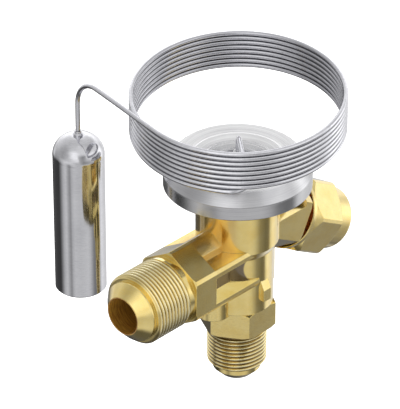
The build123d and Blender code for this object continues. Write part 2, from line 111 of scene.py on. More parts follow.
# %% Sizes of the tube
TUBE_R = 0.65
COIL_R = 27.42
COIL_PITCH = 1.325
COIL_MID_Z = 74.98
COIL_TILT_RISE = 3.08
COIL_HIGH_SIDE = 38.2
COIL_START = 210.0
COIL_TURNS = 8.11
POINTS_PER_TURN = 36
POINTS_PER_BEND = 6
FERRULE_TOP = 66.8
RISER_PEAK_Z = 71.75
RISER_ENTRY = 9.0
RISER_BENDS = (2.6, 4.5)
LEAD_RISE = 2.25
LEAD_BEND = 7.6
BULB_X, BULB_Y, BULB_TOP = -21.85, 35.9, 67.0
BULB_FERRULE = 1.4
print(f"coil of {COIL_TURNS} turns, {2 * (COIL_R + TUBE_R):.1f} mm across")


# %% Points of the coil and of a bend
def coil_point(angle, turns):
    """A point of the coil's centre line, at a compass angle and a number of turns from its start."""
    low_side = COIL_HIGH_SIDE + 180
    height = COIL_MID_Z + COIL_PITCH * (turns - 1 + (low_side - COIL_START) / 360)
    height += COIL_TILT_RISE * cos(radians(angle - COIL_HIGH_SIDE))
    return Vector((COIL_R * cos(radians(angle)), COIL_R * sin(radians(angle)), height))


def bend(before, corner, after, radius):
    """Points of the arc of that radius that rounds a corner between two straight runs."""
    to_start = (before - corner).normalized()
    to_end = (after - corner).normalized()
    half = to_start.angle(to_end) / 2
    centre = corner + (to_start + to_end).normalized() * (radius / sin(half))
    first = corner + to_start * (radius / tan(half)) - centre
    sweep = pi - 2 * half
    axis = first.cross(to_start).normalized()
    turns = [-sweep * k / POINTS_PER_BEND for k in range(POINTS_PER_BEND + 1)]
    return [centre + Matrix.Rotation(turn, 3, axis) @ first for turn in turns]


coil_start = coil_point(COIL_START, 0)
coil_end = coil_point(COIL_START - 360 * COIL_TURNS, COIL_TURNS)
print("coil climbs", round(coil_end.z - coil_start.z, 2), "mm")

# %% Route of the tube
start_direction = Vector((sin(radians(COIL_START)), -cos(radians(COIL_START)), 0))
head_exit = Vector((0, 0, FERRULE_TOP))
riser_peak = Vector((0, 0, RISER_PEAK_Z))
riser_corner = coil_start - start_direction * RISER_ENTRY
lead_corner = Vector((BULB_X, BULB_Y, coil_end.z + LEAD_RISE))
bulb_entry = Vector((BULB_X, BULB_Y, BULB_TOP + BULB_FERRULE))
route = [head_exit]
route += bend(head_exit, riser_peak, riser_corner, RISER_BENDS[0])
route += bend(riser_peak, riser_corner, coil_start, RISER_BENDS[1])
coil_steps = round(COIL_TURNS * POINTS_PER_TURN)
for step in range(coil_steps + 1):
    turns = COIL_TURNS * step / coil_steps
    route.append(coil_point(COIL_START - 360 * turns, turns))
route += bend(coil_end, lead_corner, bulb_entry, LEAD_BEND)
route.append(bulb_entry)
route_length = sum((b - a).length for a, b in zip(route, route[1:])) * MM
print(f"{len(route)} points, {route_length:.4f} m along them")

# %% Tube along the route
tube_curve = bpy.data.curves.new("capillary_tube", "CURVE")
tube_curve.dimensions = "3D"
tube_line = tube_curve.splines.new("NURBS")
tube_line.points.add(len(route) - 1)
for point, place in zip(tube_line.points, route):
    point.co = (*(place * MM), 1)
    point.radius = TUBE_R * MM
tube_line.order_u = 3
tube_line.use_endpoint_u = True
tube_line.resolution_u = 4
tube_curve.bevel_depth = 1.0  # each point's own radius is in metres
tube_curve.bevel_resolution = 5
tube_curve.use_fill_caps = True
capillary = bpy.data.objects.new("capillary_tube", tube_curve)
bpy.context.scene.collection.objects.link(capillary)
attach(capillary, "valve")
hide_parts("capillary_riser", "capillary_coil", "capillary_lead")
route[0] * MM

# %% [markdown]
# ## Cut threads
#
# A die cuts one V-shaped groove that winds along the stub. The groove could be faked with a bump, but its
# outline shows against the light, so it is really cut. The cutter is a small diamond, swept along a helix by the
# Screw modifier, and a Boolean modifier takes it away from a copy of the body. At the outlet the groove runs out
# on to the plain shoulder, so the cutter's last turn is eased outwards.

# %% Copy of the body
WELD_DISTANCE = 0.002


def only(piece):
    """Makes one object the selected and the active one."""
    nothing_selected()
    piece.select_set(True)
    bpy.context.view_layer.objects.active = piece


def copy_of_node(node, name):
    """A merged copy of a CAD node's mesh as a piece of its own."""
    piece = bpy.data.objects.new(name, NODES[node].data.copy())
    bpy.context.scene.collection.objects.link(piece)
    only(piece)
    bpy.ops.mesh.customdata_custom_splitnormals_clear()
    bpy.ops.object.mode_set(mode="EDIT")
    bpy.ops.mesh.select_all(action="SELECT")
    bpy.ops.mesh.remove_doubles(threshold=WELD_DISTANCE * MM)
    bpy.ops.object.mode_set(mode="OBJECT")
    return piece


body = copy_of_node("valve_body", "threaded_body")
print("body:", len(body.data.polygons), "faces before the threads")

# %% Section of a thread cutter
def diamond(name, half_width, half_height, crest_r, start):
    """The cutter's section: a diamond in the XZ plane, with its middle on the thread's crest."""
    nothing_selected()
    bpy.ops.mesh.primitive_circle_add(
        vertices=4, radius=half_width * MM, location=(0, 0, 0), rotation=(pi / 2, 0, 0),
    )
    section = bpy.context.object
    section.name = name
    bpy.ops.object.transform_apply(location=True, rotation=True, scale=True)
    bpy.ops.object.mode_set(mode="EDIT")
    bpy.ops.mesh.select_all(action="SELECT")
    bpy.ops.transform.resize(value=(half_height / half_width, 1, 1))
    bpy.ops.transform.translate(value=(crest_r * MM, 0, start * MM))
    bpy.ops.object.mode_set(mode="OBJECT")
    return section


# %% Thread cutter
CUTTER_STEPS = 64
CUTTER_OVERLAP = 0.05
GROOVE_SHARE = 0.44
RUN_OUT_LIFT = 0.3


def apply_modifiers(piece):
    """Applies a piece's modifiers in their order."""
    only(piece)
    for modifier in list(piece.modifiers):
        bpy.ops.object.modifier_apply(modifier=modifier.name)


def ease_outwards(cutter, end, run_out, lift):
    """Moves the last length of a cutter, its run-out, away from its axis, more and more."""
    for vertex in cutter.data.vertices:
        share = min((vertex.co.z / MM - (end - run_out)) / run_out, 1.0)
        if share > 0:
            grown = 1 + share * share * lift * MM / Vector((vertex.co.x, vertex.co.y)).length
            vertex.co.x *= grown
            vertex.co.y *= grown


def thread_cutter(name, crest_r, pitch, depth, span, run_out=0):
    """A helical cutter about Z. Its groove's middle goes from the span's start to its end, in millimetres."""
    start, end = span
    turns = round((end - start) / pitch)
    cutter = diamond(name, pitch * GROOVE_SHARE, depth + CUTTER_OVERLAP, crest_r + CUTTER_OVERLAP, start)
    screw = cutter.modifiers.new("helix", "SCREW")
    screw.axis = "Z"
    screw.angle = 2 * pi
    screw.screw_offset = pitch * MM
    screw.iterations = turns
    screw.steps = screw.render_steps = CUTTER_STEPS
    apply_modifiers(cutter)
    if run_out:
        ease_outwards(cutter, end, run_out, depth + RUN_OUT_LIFT)
    bpy.ops.object.mode_set(mode="EDIT")
    bpy.ops.mesh.select_all(action="SELECT")
    bpy.ops.mesh.fill_holes(sides=8)
    bpy.ops.mesh.select_all(action="SELECT")
    bpy.ops.mesh.normals_make_consistent(inside=False)
    bpy.ops.object.mode_set(mode="OBJECT")
    print(f"{name}: {turns} turns, {len(cutter.data.vertices)} points")
    return cutter


# %% [markdown]
# ### Three threads
#
# The inlet and the outlet take flare nuts, and both have the same fine pitch. The stub under the cap has a
# coarser thread: its pitch is how far the cap travels in one turn. Each cutter is made about Z, and then laid on
# its own axis. They could be cut from three copies, but one body stays one closed skin.

# %% Three cutters
OUTLET_Z = 36.9
OUTLET_MOUTH_X = -40.4
OUTLET_THREAD_R = 9.525
OUTLET_THREAD_LENGTH = 12.32
OUTLET_RUN_OUT = 0.9
INLET_THREAD_R = 7.9375
INLET_THREAD_SPAN = (3.4, 14.6)
FLARE_PITCH = 1.12
FLARE_DEPTH = 0.62
TILT = radians(28.5)
SPINDLE_Z = 51.05
STUB_R = 7.0
STUB_THREAD_SPAN = (21.2, 27.2)
CAP_PITCH = 1.5
CAP_THREAD_DEPTH = 0.75


def in_metres(place):
    """A place in millimetres, in the scene's metres."""
    return [c * MM for c in place]


def lay(cutter, place, turn):
    """Turns a cutter about Y and puts its origin at a place."""
    cutter.matrix_world = Matrix.Translation(in_metres(place)) @ Matrix.Rotation(turn, 4, "Y")


inlet_cutter = thread_cutter("inlet_cutter", INLET_THREAD_R, FLARE_PITCH, FLARE_DEPTH, INLET_THREAD_SPAN)
outlet_cutter = thread_cutter(
    "outlet_cutter", OUTLET_THREAD_R, FLARE_PITCH, FLARE_DEPTH, (0.0, OUTLET_THREAD_LENGTH), OUTLET_RUN_OUT,
)
lay(outlet_cutter, (OUTLET_MOUTH_X, 0, OUTLET_Z), pi / 2)
stub_cutter = thread_cutter("stub_cutter", STUB_R, CAP_PITCH, CAP_THREAD_DEPTH, STUB_THREAD_SPAN)
lay(stub_cutter, (0, 0, SPINDLE_Z), pi / 2 + TILT)

# %% Threads on the body
SHARP_ANGLE = radians(24)


def take_away(piece, cutters):
    """Cuts the cutters out of a piece, and removes them."""
    for cutter in cutters:
        cut = piece.modifiers.new(cutter.name, "BOOLEAN")
        cut.operation = "DIFFERENCE"
        cut.solver = "EXACT"
        cut.object = cutter
    apply_modifiers(piece)
    print(f"{piece.name}: {len(cutters)} cuts, {len(piece.data.polygons)} faces")
    for cutter in cutters:
        bpy.data.objects.remove(cutter)


def smooth(piece):
    """Shades a piece smooth, apart from its sharp edges."""
    only(piece)
    bpy.ops.object.shade_smooth_by_angle(angle=SHARP_ANGLE)


take_away(body, [inlet_cutter, outlet_cutter, stub_cutter])
smooth(body)
# the flats stay flat right up to their rounded edges
weighted = body.modifiers.new("weighted", "WEIGHTED_NORMAL")
weighted.keep_sharp = True
weighted.weight = 100
apply_modifiers(body)
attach(body, "valve")
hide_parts("valve_body")

# %% [markdown]
# ## Saddle over the spindle's bore
#
# The arm is cut back flat where the head overhangs it, and a round saddle closes the spindle's bore above that
# flat. It could be cut from a block, but on the forging it is a length of round bar about the spindle's axis, so
# it starts as a cylinder. A slice takes away the half that the arm already has, and three more cylinders take
# away the gland's bore, the pusher's bore and the inside of the column.

# %% Bar on the spindle's axis
ARM_TOP_Z = 46.95
SADDLE_R = 7.0
SADDLE_SPAN = (5.0, 18.7)
SADDLE_SINK = 0.4
GLAND_BORE_R = 5.52
GLAND_BORE_SPAN = (12.4, 22.0)
PUSHER_BORE_R = 2.05
PUSHER_BORE_SPAN = (2.0, 13.0)
COLUMN_CORE_R = 9.5
COLUMN_CORE_HEIGHT = 30.0
COLUMN_CORE_Z = 50.0
BAR_SIDES = 96
CORE_SIDES = 128


def round_bar(name, sides, radius, length, centre, turn=0.0):
    """A round bar about Z, turned about Y and centred on a place, in millimetres."""
    nothing_selected()
    bpy.ops.mesh.primitive_cylinder_add(
        vertices=sides, radius=radius * MM, depth=length * MM, location=in_metres(centre), rotation=(0, turn, 0),
    )
    bar = bpy.context.object
    bar.name = name
    bpy.ops.object.transform_apply(location=True, rotation=True, scale=True)
    return bar


def spindle_bar(name, radius, span):
    """A round bar on the spindle's axis. The span is its start and end along that axis."""
    middle = sum(span) / 2
    centre = (middle * cos(TILT), 0, SPINDLE_Z - middle * sin(TILT))
    return round_bar(name, BAR_SIDES, radius, span[1] - span[0], centre, turn=pi / 2 + TILT)


saddle = spindle_bar("arm_saddle", SADDLE_R, SADDLE_SPAN)
print("bar:", len(saddle.data.vertices), "points")

# %% Saddle
bpy.ops.object.mode_set(mode="EDIT")
bpy.ops.mesh.select_all(action="SELECT")
bpy.ops.mesh.bisect(
    plane_co=(0, 0, (ARM_TOP_Z - SADDLE_SINK) * MM), plane_no=(0, 0, 1), use_fill=True, clear_inner=True,
)
bpy.ops.object.mode_set(mode="OBJECT")
take_away(saddle, [
    spindle_bar("gland_bore", GLAND_BORE_R, GLAND_BORE_SPAN),
    spindle_bar("pusher_bore", PUSHER_BORE_R, PUSHER_BORE_SPAN),
    round_bar("column_core", CORE_SIDES, COLUMN_CORE_R, COLUMN_CORE_HEIGHT, (0, 0, COLUMN_CORE_Z)),
])
smooth(saddle)
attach(saddle, "valve")
print("saddle's top at", round(max(v.co.z for v in saddle.data.vertices) / MM, 2), "mm")

# %% [markdown]
# ## Writing shaders as sums
#
# Each finish mixes a few patterns. Node by node that is hard to read, so a small class wraps one output socket
# and lets Python's operators add the Math nodes: `1 - mask * 0.3` reads as what it does.

# %% The shader class
class Flow:
    """One output socket. An expression on it adds Math nodes."""

    def __init__(self, tree, socket=None):
        self.tree = tree
        self.socket = socket

    def node(self, kind, settings=None, inputs=None, output=0):
        """Adds a node, sets its settings first and then its sockets, and returns one of its outputs."""
        made = self.tree.nodes.new(kind)
        for key, value in (settings or {}).items():
            if key == "stops":
                elements = made.color_ramp.elements
                for place, _ in value[1:-1]:
                    elements.new(place)
                for element, (place, colour) in zip(elements, value):
                    element.position = place
                    element.color = colour
            else:
                setattr(made, key, value)
        for key, value in (inputs or {}).items():
            if isinstance(value, Flow):
                self.tree.links.new(value.socket, made.inputs[key])
            else:
                made.inputs[key].default_value = value
        return Flow(self.tree, made.outputs[output])

    def math(self, operation, *values):
        """A Math node, on this socket and the values after it."""
        return self.node("ShaderNodeMath", {"operation": operation}, dict(enumerate((self, *values))))

    def __add__(self, other):
        return self.math("ADD", other)

    __radd__ = __add__

    def __mul__(self, other):
        return self.math("MULTIPLY", other)

    __rmul__ = __mul__

    def __sub__(self, other):
        return self.math("SUBTRACT", other)

    def __rsub__(self, other):
        return self.node("ShaderNodeMath", {"operation": "SUBTRACT"}, {0: other, 1: self})

    def __truediv__(self, other):
        return self.math("DIVIDE", other)

    def __pow__(self, power):
        return self.math("POWER", power)

    def step(self, low, high):
        """0 below low, 1 above high, and a soft step between them. High may be the smaller one."""
        ends = (0.0, 1.0) if low < high else (1.0, 0.0)
        inputs = {"From Min": min(low, high), "From Max": max(low, high), "To Min": ends[0], "To Max": ends[1]}
        return self.node("ShaderNodeMapRange", {"interpolation_type": "SMOOTHSTEP"}, {"Value": self, **inputs})

    def between(self, low, high, soft):
        """1 from low to high, and 0 further than soft from them."""
        return self.step(low - soft, low) * self.step(high + soft, high)

    def mix(self, colour_a, colour_b):
        """Colour a where this is 0 and colour b where it is 1."""
        return self.node("ShaderNodeMix", {"data_type": "RGBA"}, {0: self, 6: colour_a, 7: colour_b}, output=2)


# %% [markdown]
# ### Patterns and finishes
#
# Nearly every mark on metal is noise: even noise for clouds of colour, and noise drawn out along one axis for
# the marks of a tool. The patterns read the place on the piece in millimetres, so they stay on it as it moves.
# A finish is one material. Its Principled node gets the patterns, a bump, and edges that are rounded in the
# shading, because a real edge is never quite sharp and always catches the light.

# %% Patterns
def object_place(flow):
    """The point in millimetres as a vector, and its three parts."""
    place = flow.node("ShaderNodeTexCoord", output=3)
    scaled = flow.node("ShaderNodeVectorMath", {"operation": "SCALE"}, {0: place, "Scale": 1 / MM})
    parts = [flow.node("ShaderNodeSeparateXYZ", inputs={0: scaled}, output=k) for k in range(3)]
    return scaled, parts


def noise(flow, vector, scale, detail=3.0):
    """Soft noise from 0 to 1."""
    inputs = {"Vector": vector, "Scale": scale, "Detail": detail, "Roughness": 0.55}
    return flow.node("ShaderNodeTexNoise", {"noise_dimensions": "3D"}, inputs)


def streaks(flow, place, stretch, detail=3.0):
    """Noise drawn out along the axes with the small numbers in stretch."""
    drawn = flow.node("ShaderNodeVectorMath", {"operation": "MULTIPLY"}, {0: place, 1: stretch})
    return noise(flow, drawn, 1.0, detail)


def open_air_within(flow, reach):
    """1 where nothing stands within reach of the surface, and less down in a groove."""
    return flow.node("ShaderNodeAmbientOcclusion", {"samples": 8}, {"Distance": reach * MM}, output=1)


# %% Parts of every finish
def new_finish(name):
    """A material with an empty tree: its Flow, and the Principled node that the finish feeds."""
    material = bpy.data.materials.new(name)
    material.use_nodes = True
    tree = material.node_tree
    return material, Flow(tree), tree.nodes["Principled BSDF"]


def leaning(flow, normal, share, toward):
    """A normal that leans towards a vector where the share is 1."""
    mixed = flow.node("ShaderNodeMix", {"data_type": "VECTOR"}, {0: share, 4: normal, 5: toward}, output=1)
    return flow.node("ShaderNodeVectorMath", {"operation": "NORMALIZE"}, {0: mixed})


def feed(flow, principled, bump=None, bump_mm=0.01, bump_strength=0.5, edge_mm=0.0, lean=None, **sockets):
    """Links values or flows to the Principled node. A bump's height is in millimetres, and so is the radius that
    rounds the edges. A lean is the share and the vector that leaning() takes."""
    for key, value in sockets.items():
        socket = principled.inputs[key.replace("_", " ")]
        if isinstance(value, Flow):
            flow.tree.links.new(value.socket, socket)
        else:
            socket.default_value = value
    normal = None
    if edge_mm:
        normal = flow.node("ShaderNodeBevel", {"samples": 4}, {"Radius": edge_mm * MM})
    if lean:
        normal = leaning(flow, normal, *lean)
    if bump:
        inputs = {"Height": bump, "Strength": bump_strength, "Distance": bump_mm * MM}
        if normal:
            inputs["Normal"] = normal
        normal = flow.node("ShaderNodeBump", {}, inputs)
    if normal:
        flow.tree.links.new(normal.socket, principled.inputs["Normal"])


def paint(material, *pieces):
    """Gives a material to new pieces and to CAD nodes by their names."""
    for piece in pieces:
        piece = NODES[piece] if isinstance(piece, str) else piece
        piece.data.materials.clear()
        piece.data.materials.append(material)
    print(f"{material.name}: {len(pieces)} pieces, {len(material.node_tree.nodes)} nodes")


# %% [markdown]
# ## Brass
#
# The body starts as a hot forging. It is then turned where it is round, and left as the die made it in its
# hollows, and a clear lacquer keeps it bright. One yellow all over would look like plastic. So the brass has
# rings of tool marks on the turned parts, a fine grain on the wrench flats and a duller skin in the hollows, with
# painted shade laid over the hollows, and the place of a point says which of them it gets.

# %% Colours of the brass
def rgb(r, g, b):
    """A colour that hides all behind it."""
    return (r, g, b, 1.0)


BRASS_LIGHT = rgb(0.93, 0.74, 0.27)
BRASS_DEEP = rgb(0.88, 0.65, 0.18)
# painted shade for the pocket above the groove
POCKET_SHADE_AMBER = rgb(0.60, 0.36, 0.08)
FLAT_SHADE = rgb(0.70, 0.52, 0.17)
# painted shade for the web of the groove
WEB_SHADE = rgb(0.20, 0.15, 0.08)
# painted shade for creases and recesses
CREVICE_SHADE_BROWN = rgb(0.30, 0.18, 0.05)
# painted shade at the roots of the threads
ROOT_SHADE_BROWN = rgb(0.24, 0.16, 0.045)
# painted highlight on the crests of the threads
CREST_HIGHLIGHT = rgb(1.0, 0.87, 0.48)
# painted shade and painted reflections inside the outlet's bore
BORE_SHADE_BROWN = rgb(0.34, 0.15, 0.02)
BORE_REFLECTION_AMBER = rgb(0.62, 0.36, 0.06)
LACQUER = {"Coat_Weight": 1.0, "Coat_IOR": 1.7, "Coat_Roughness": 0.06}
WORN_EDGE = 0.26
print("lacquered brass, its edges rounded by", WORN_EDGE, "mm")

# %% Where the body is turned, flat or bored
TURNED_OUTLET_X = -18.6
COLUMN_R = 11.2
HEXAGON_SPAN = (15.1, 22.2)
OUTLET_BORE_R = 5.1

body_brass, flow, principled = new_finish("body_brass")
place, (x, y, z) = object_place(flow)
radius = (x * x + y * y) ** 0.5
above_axis = z - OUTLET_Z
from_flat = y.math("ABSOLUTE")
from_outlet_axis = (y * y + above_axis * above_axis) ** 0.5
on_outlet = x.step(TURNED_OUTLET_X + 0.6, TURNED_OUTLET_X)
on_column = (1 - on_outlet) * radius.step(COLUMN_R + 0.4, COLUMN_R)
on_hexagon = z.between(*HEXAGON_SPAN, 0.2)
on_flats = (1 - on_outlet) * (1 - on_column * (1 - on_hexagon))
in_bore = from_outlet_axis.step(OUTLET_BORE_R + 0.2, OUTLET_BORE_R) * on_outlet
print(len(flow.tree.nodes), "nodes place the turned and flat parts")

# %% [markdown]
# ### Hollows beside the outlet
# Each side of the outlet's branch has a cast groove. Its web was never touched by a tool and is dull, and it is
# painted dark as painted shade in the groove. The ledge below the web catches the light as if it sloped outwards.
# The ledge could be modelled again with a slope, but leaning its shading gives the same light and leaves the skin
# closed. Above the groove lies a shallow pocket with a forged skin, painted a deeper amber as painted shade. Above
# the groove lies a shallow pocket,
# still amber from the forge.

# %% Groove, ledge, web and pocket
GROOVE_END_X = -18.5
GROOVE_ROOT_X = -3.5
GROOVE_SPAN = (-3.85, 3.8)
LEDGE_TOP = -3.6
LEDGE_START = 4.8
WEB_EDGE = 7.3
WEB_EDGE_CURVE = 0.07
POCKET_END_X = -18.2
POCKET_ROOT_X = -9.0
POCKET_HALF_WIDTH = 6.2
POCKET_FLOOR = 4.6

in_groove = x.step(GROOVE_END_X - 0.2, GROOVE_END_X) * x.step(GROOVE_ROOT_X + 1.0, GROOVE_ROOT_X)
in_groove = in_groove * above_axis.between(*GROOVE_SPAN, 0.1)
on_ledge = from_flat.step(LEDGE_START - 0.1, LEDGE_START) * above_axis.step(LEDGE_TOP + 0.1, LEDGE_TOP)
on_ledge = in_groove * on_ledge
web_edge = from_flat - above_axis * above_axis * WEB_EDGE_CURVE
on_web = in_groove * web_edge.step(WEB_EDGE + 0.3, WEB_EDGE) * (1 - on_ledge)
outwards_and_up = flow.node("ShaderNodeCombineXYZ", inputs={1: y.math("SIGN"), 2: 1.0})
in_pocket = x.step(POCKET_END_X - 0.7, POCKET_END_X) * x.step(POCKET_ROOT_X + 2.0, POCKET_ROOT_X)
in_pocket = in_pocket * from_flat.step(POCKET_HALF_WIDTH + 2.4, POCKET_HALF_WIDTH)
in_pocket = in_pocket * above_axis.step(POCKET_FLOOR - 1.2, POCKET_FLOOR)
print("groove", round(GROOVE_SPAN[1] - GROOVE_SPAN[0], 2), "mm high")

# %% [markdown]
# ### Roots and crests
#
# The root of a thread gets painted shade, and its crests get a painted highlight. Both follow from the
# distance to the thread's axis, so they are painted by that distance.

# %% Roots and crests of the two threads
INLET_ROOT = (0.12, 0.42)
INLET_CREST = (0.16, 0.06)
OUTLET_ROOT = (0.15, 0.45)
OUTLET_CREST = (0.22, 0.08)
OUTLET_ROOT_SHARE = 0.6
OUTLET_TURNS_SPAN = (-39.3, -28.8)


def at_depth(distance, crest_r, depths):
    """0 at the first depth below a thread's crest, and 1 at the second."""
    return distance.step(crest_r - depths[0], crest_r - depths[1])


first, last = INLET_THREAD_SPAN
inlet_turns = z.step(first - 0.2, first + 0.2) * z.step(last + 0.3, last)
outlet_turns = x.between(*OUTLET_TURNS_SPAN, 0.4)
outlet_root = outlet_turns * at_depth(from_outlet_axis, OUTLET_THREAD_R, OUTLET_ROOT) * OUTLET_ROOT_SHARE
root = inlet_turns * at_depth(radius, INLET_THREAD_R, INLET_ROOT) + outlet_root
outlet_crest = outlet_turns * at_depth(from_outlet_axis, OUTLET_THREAD_R, OUTLET_CREST)
crest = inlet_turns * at_depth(radius, INLET_THREAD_R, INLET_CREST) + outlet_crest
print("crests at", INLET_THREAD_R, "and", OUTLET_THREAD_R, "mm")

# %% [markdown]
# ### Tool marks, stain and colour
#
# A turned face has rings about its axis, so noise is drawn out across them. The colour wanders a little between
# two brasses, and a fine brown speckle of age lies on the flats. The colours are laid on like coats of paint, so
# the last one wins: speckle, painted shade in the pocket, on the web, in the crevices and at the roots, a painted
# highlight on the crests, and painted shade and reflections in the bore.

# %% Tool marks and colour of the body
RINGS_ALONG_X = (9.0, 0.35, 0.35)
RINGS_ALONG_Z = (0.35, 0.35, 9.0)
FLAT_GRAIN = (1.2, 1.2, 14.0)
SPECKLE_STRETCH = (2.4, 2.4, 5.0)
CREVICE_REACH = 0.7


def two_brasses(mottle):
    """The lighter brass and the deeper one, mixed by a mottle."""
    return mottle.step(0.3, 0.75).mix(BRASS_LIGHT, BRASS_DEEP)


def speckled(flow, place, colour, share):
    """A colour with the brown speckle of age, as strong as the share."""
    speckle = streaks(flow, place, SPECKLE_STRETCH, detail=4.0)
    return (speckle.step(0.38, 0.66) * share).mix(colour, FLAT_SHADE)


rings_outlet = streaks(flow, place, RINGS_ALONG_X)
rings_column = streaks(flow, place, RINGS_ALONG_Z)
grain = streaks(flow, place, FLAT_GRAIN, detail=4.0)
marks = on_outlet * rings_outlet + on_column * rings_column + (1 - on_outlet) * (1 - on_column) * grain
mottle = noise(flow, place, 0.22, detail=4.0)
colour = speckled(flow, place, two_brasses(mottle), on_flats * (1 - in_groove) * 0.45)
# painted shade: the pocket is painted half towards a deeper amber
colour = (in_pocket * 0.5).mix(colour, POCKET_SHADE_AMBER)
# painted shade: the groove's web is painted dark
colour = on_web.mix(colour, WEB_SHADE)
# painted shade: brown where the surface is hemmed in, in creases and recesses
colour = open_air_within(flow, CREVICE_REACH).step(0.1, 0.65).mix(CREVICE_SHADE_BROWN, colour)
# painted shade at the thread roots and a painted highlight on the crests
colour = crest.mix(root.mix(colour, ROOT_SHADE_BROWN), CREST_HIGHLIGHT)
# painted shade inside the bore, with painted reflections streaked along its turning rings
colour = in_bore.mix(colour, rings_outlet.step(0.45, 0.62).mix(BORE_SHADE_BROWN, BORE_REFLECTION_AMBER))
print(len(flow.tree.nodes), "nodes with the colour")

# %% Finish of the body
forged = noise(flow, place, 2.6, detail=4.0)
roughness = 0.08 + marks * 0.07 + mottle * 0.04 + in_pocket * 0.1 + in_bore * 0.25 + on_web * 0.25
bump = marks * (1 - in_pocket) + forged * in_pocket * 3.0
feed(
    flow, principled, bump=bump, bump_mm=0.006, bump_strength=0.4, edge_mm=WORN_EDGE,
    lean=(on_ledge, outwards_and_up),
    Base_Color=colour, Roughness=roughness, Metallic=1.0 - in_bore * 0.6, **LACQUER,
)
paint(body_brass, body, saddle)

# %% [markdown]
# ## Brass of the cap
#
# The cap and the small fittings are turned from bar, with no forged skin left. Their marks are rings about the
# spindle's sloping axis. Turning the cap to lie along X would do it too, but the same slope worked out from the
# place keeps every piece where it is.

# %% Turned brass
LATHE_ACROSS = 7.0
LATHE_ROUND = 0.3

turned_brass, flow, principled = new_finish("turned_brass")
place, (x, y, z) = object_place(flow)
along = x * cos(TILT) - (z - SPINDLE_Z) * sin(TILT)
rings = {0: along * LATHE_ACROSS, 1: y * LATHE_ROUND, 2: z * LATHE_ROUND}
lathe_marks = noise(flow, flow.node("ShaderNodeCombineXYZ", inputs=rings), 1.0)
mottle = noise(flow, place, 0.25, detail=4.0)
colour = speckled(flow, place, two_brasses(mottle), 0.25)
feed(
    flow, principled, bump=lathe_marks, bump_mm=0.01, bump_strength=0.4, edge_mm=WORN_EDGE,
    Base_Color=colour, Roughness=0.07 + lathe_marks * 0.06 + mottle * 0.03, Metallic=1.0, **LACQUER,
)
paint(turned_brass, "spindle_cap", "orifice_housing", "strainer_frame", "spring_seat", "spindle_gland")

# %% [markdown]
# ## Steel of the head
#
# The two cups of the head are pressed from stainless sheet and brushed while they spin, so fine lines run round
# the axis. Noise that changes only with the distance from the axis and with the height gives such lines. The
# top is paler, softer and less metallic than the side.

# %% Brushed steel
STEEL_LIGHT = rgb(0.66, 0.66, 0.67)
STEEL_DARK = rgb(0.54, 0.54, 0.56)
STEEL_TOP = rgb(0.93, 0.93, 0.93)
LINES_PER_MM = 6.0
LINE_DRIFT = 0.05
TOP_Z = 65.2

brushed_steel, flow, principled = new_finish("brushed_steel")
place, (x, y, z) = object_place(flow)
radius = (x * x + y * y) ** 0.5
turn_lines = {0: radius * LINES_PER_MM, 1: z * LINES_PER_MM, 2: x * LINE_DRIFT + y * LINE_DRIFT}
lines = noise(flow, flow.node("ShaderNodeCombineXYZ", inputs=turn_lines), 1.0, detail=5.0)
clouds = noise(flow, place, 0.16)
on_top = z.step(TOP_Z - 1.2, TOP_Z)
colour = (lines * 0.6 + clouds * 0.4).step(0.3, 0.7).mix(STEEL_DARK, STEEL_LIGHT)
colour = (on_top * lines.step(0.25, 0.6)).mix(colour, STEEL_TOP)
roughness = 0.13 + lines * 0.12 + clouds * 0.05 + on_top * 0.1
feed(
    flow, principled, bump=lines, bump_mm=0.01, bump_strength=0.5, edge_mm=0.15,
    Base_Color=colour, Roughness=roughness, Metallic=1.0 - on_top * 0.5,
)
paint(
    brushed_steel, "head_lower_shell", "head_upper_shell", "capillary_ferrule", "diaphragm", "thrust_plate",
    "push_pin", "orifice_needle", "setting_pusher", "setting_spindle",
)

# %% [markdown]
# ## Steel of the tube
#
# A drawn tube is smooth, with faint patches from the annealing. In a tight coil each turn shades the next one,
# and the inside of the ring mostly sees other turns. Rendered light shows only part of that, so the gaps and the
# inner side also get darker colours.

# %% Steel tube
TUBE_DARK = rgb(0.69, 0.69, 0.73)
TUBE_LIGHT = rgb(0.84, 0.84, 0.88)
INNER_SIDE = rgb(0.42, 0.42, 0.45)
GAP_BLACK = rgb(0.10, 0.10, 0.11)
INWARD_FULL = -12.0
TUBE_GAP_REACH = 0.8

tube_steel, flow, principled = new_finish("drawn_tube")
place, (x, y, z) = object_place(flow)
drawn = noise(flow, place, 1.4, detail=4.0)
patches = noise(flow, place, 0.2, detail=2.0)
outward = flow.node("ShaderNodeCombineXYZ", inputs={0: x, 1: y})
facing = flow.node("ShaderNodeNewGeometry", output=1)
faces_out = flow.node("ShaderNodeVectorMath", {"operation": "DOT_PRODUCT"}, {0: facing, 1: outward}, output=1)
colour = (drawn * 0.5 + patches * 0.5).step(0.3, 0.7).mix(TUBE_DARK, TUBE_LIGHT)
colour = (faces_out.step(0.0, INWARD_FULL) * 0.5).mix(colour, INNER_SIDE)
colour = open_air_within(flow, TUBE_GAP_REACH).step(0.25, 0.95).mix(GAP_BLACK, colour)
feed(
    flow, principled, bump=drawn, bump_mm=0.004, bump_strength=0.2,
    Base_Color=colour, Roughness=0.10 + drawn * 0.06, Metallic=1.0,
)
paint(tube_steel, capillary)

# %% [markdown]
# ## Steel of the bulb
#
# The bulb is polished, since its whole side must touch the pipe that it is strapped to. A perfect mirror would
# look drawn, so faint rings from the polishing belt and a slow haze are left in its shine.

# %% Polished steel
BULB_DARK = rgb(0.62, 0.62, 0.65)
BULB_LIGHT = rgb(0.74, 0.74, 0.77)
BELT_MARKS = (0.8, 0.8, 7.0)

